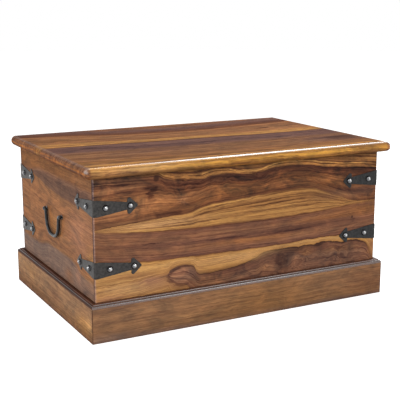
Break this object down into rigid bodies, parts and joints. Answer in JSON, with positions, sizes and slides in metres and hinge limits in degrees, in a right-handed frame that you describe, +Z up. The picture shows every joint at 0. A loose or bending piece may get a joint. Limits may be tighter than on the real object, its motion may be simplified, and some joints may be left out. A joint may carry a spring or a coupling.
{
  "type": "wooden toy box",
  "caption": "Solid wood toy chest with an overhanging hinged lid on stays, a moulded plinth, iron corner straps and a drop handle on each end.",
  "frame": {"origin": "on the floor, at the middle of the chest's bounding box", "axes": "+X along the chest to its right end, -Y towards the front, +Z up"},
  "size_m": [0.9, 0.615, 0.4384],
  "materials": {
    "case_wood": "satin varnished rosewood, strong figure",
    "lid_wood": "satin varnished rosewood, straight grain",
    "plinth_wood": "satin varnished rosewood, plain",
    "moulding_wood": "gloss varnished rosewood, dark",
    "inner_wood": "oiled rosewood",
    "black_iron": "forged, black satin",
    "polished_steel": "bright domed nails",
    "zinc_steel": "zinc plated"
  },
  "bodies": {
    "case": {"back_board_bottom": "case_wood", "back_board_middle": "case_wood", "back_board_top": "case_wood", "eye_bolt_nuts": "zinc_steel", "eye_bolt_washers": "zinc_steel", "eye_bolts": "black_iron", "floor_bearers": "inner_wood", "floor_board_back": "inner_wood", "floor_board_front": "inner_wood", "floor_board_middle": "inner_wood", "floor_ledgers_long": "inner_wood", "floor_ledgers_short": "inner_wood", "front_board_bottom": "case_wood", "front_board_middle": "case_wood", "front_board_top": "case_wood", "hinge_case_leaves": "zinc_steel", "hinge_case_screws": "zinc_steel", "hinge_pins": "zinc_steel", "left_end_board_bottom": "case_wood", "left_end_board_top": "case_wood", "moulding_back": "moulding_wood", "moulding_front": "moulding_wood", "moulding_left": "moulding_wood", "moulding_right": "moulding_wood", "plinth_back": "plinth_wood", "plinth_front": "plinth_wood", "plinth_left": "plinth_wood", "plinth_right": "plinth_wood", "right_end_board_bottom": "case_wood", "right_end_board_top": "case_wood", "stay_case_plates": "zinc_steel", "stay_case_screws": "zinc_steel", "strap_lower_back_left": "black_iron", "strap_lower_back_right": "black_iron", "strap_lower_front_left": "black_iron", "strap_lower_front_right": "black_iron", "strap_nails": "polished_steel", "strap_upper_back_left": "black_iron", "strap_upper_back_right": "black_iron", "strap_upper_front_left": "black_iron", "strap_upper_front_right": "black_iron"},
    "lid": {"batten_screws": "zinc_steel", "hinge_lid_leaves": "zinc_steel", "hinge_lid_screws": "zinc_steel", "lid_batten_left": "inner_wood", "lid_batten_middle": "inner_wood", "lid_batten_right": "inner_wood", "lid_board_back": "lid_wood", "lid_board_back_middle": "lid_wood", "lid_board_front": "lid_wood", "lid_board_front_middle": "lid_wood", "stay_lid_brackets": "zinc_steel", "stay_lid_screws": "zinc_steel", "stay_rivets": "zinc_steel"},
    "handle_left": {"bail_left": "black_iron"},
    "handle_right": {"bail_right": "black_iron"},
    "stay_left": {"stay_arm_left": "zinc_steel"},
    "stay_right": {"stay_arm_right": "zinc_steel"}
  },
  "joints": [
    {"name": "lid_hinge", "type": "hinge", "parent": "case", "child": "lid", "pos_m": [0, 0.2958, 0.4102], "axis": [-1, 0, 0], "range_deg": [0, 95]},
    {"name": "bail_left_swing", "type": "hinge", "parent": "case", "child": "handle_left", "pos_m": [-0.4315, 0.0045, 0.268], "axis": [0, 1, 0], "range_deg": [0, 180]},
    {"name": "bail_right_swing", "type": "hinge", "parent": "case", "child": "handle_right", "pos_m": [0.4315, 0.0045, 0.268], "axis": [0, -1, 0], "range_deg": [0, 180]},
    {"name": "stay_left_turn", "type": "hinge", "parent": "lid", "child": "stay_left", "pos_m": [-0.4015, 0.14646, 0.3962], "axis": [1, 0, 0], "range_deg": [0, 47.5]},
    {"name": "stay_right_turn", "type": "hinge", "parent": "lid", "child": "stay_right", "pos_m": [0.4015, 0.14646, 0.3962], "axis": [1, 0, 0], "range_deg": [0, 47.5]}
  ],
  "couplings": [
    {"joint": "stay_left_turn", "follows": "lid_hinge", "ratio": 0.5},
    {"joint": "stay_right_turn", "follows": "lid_hinge", "ratio": 0.5}
  ]
}
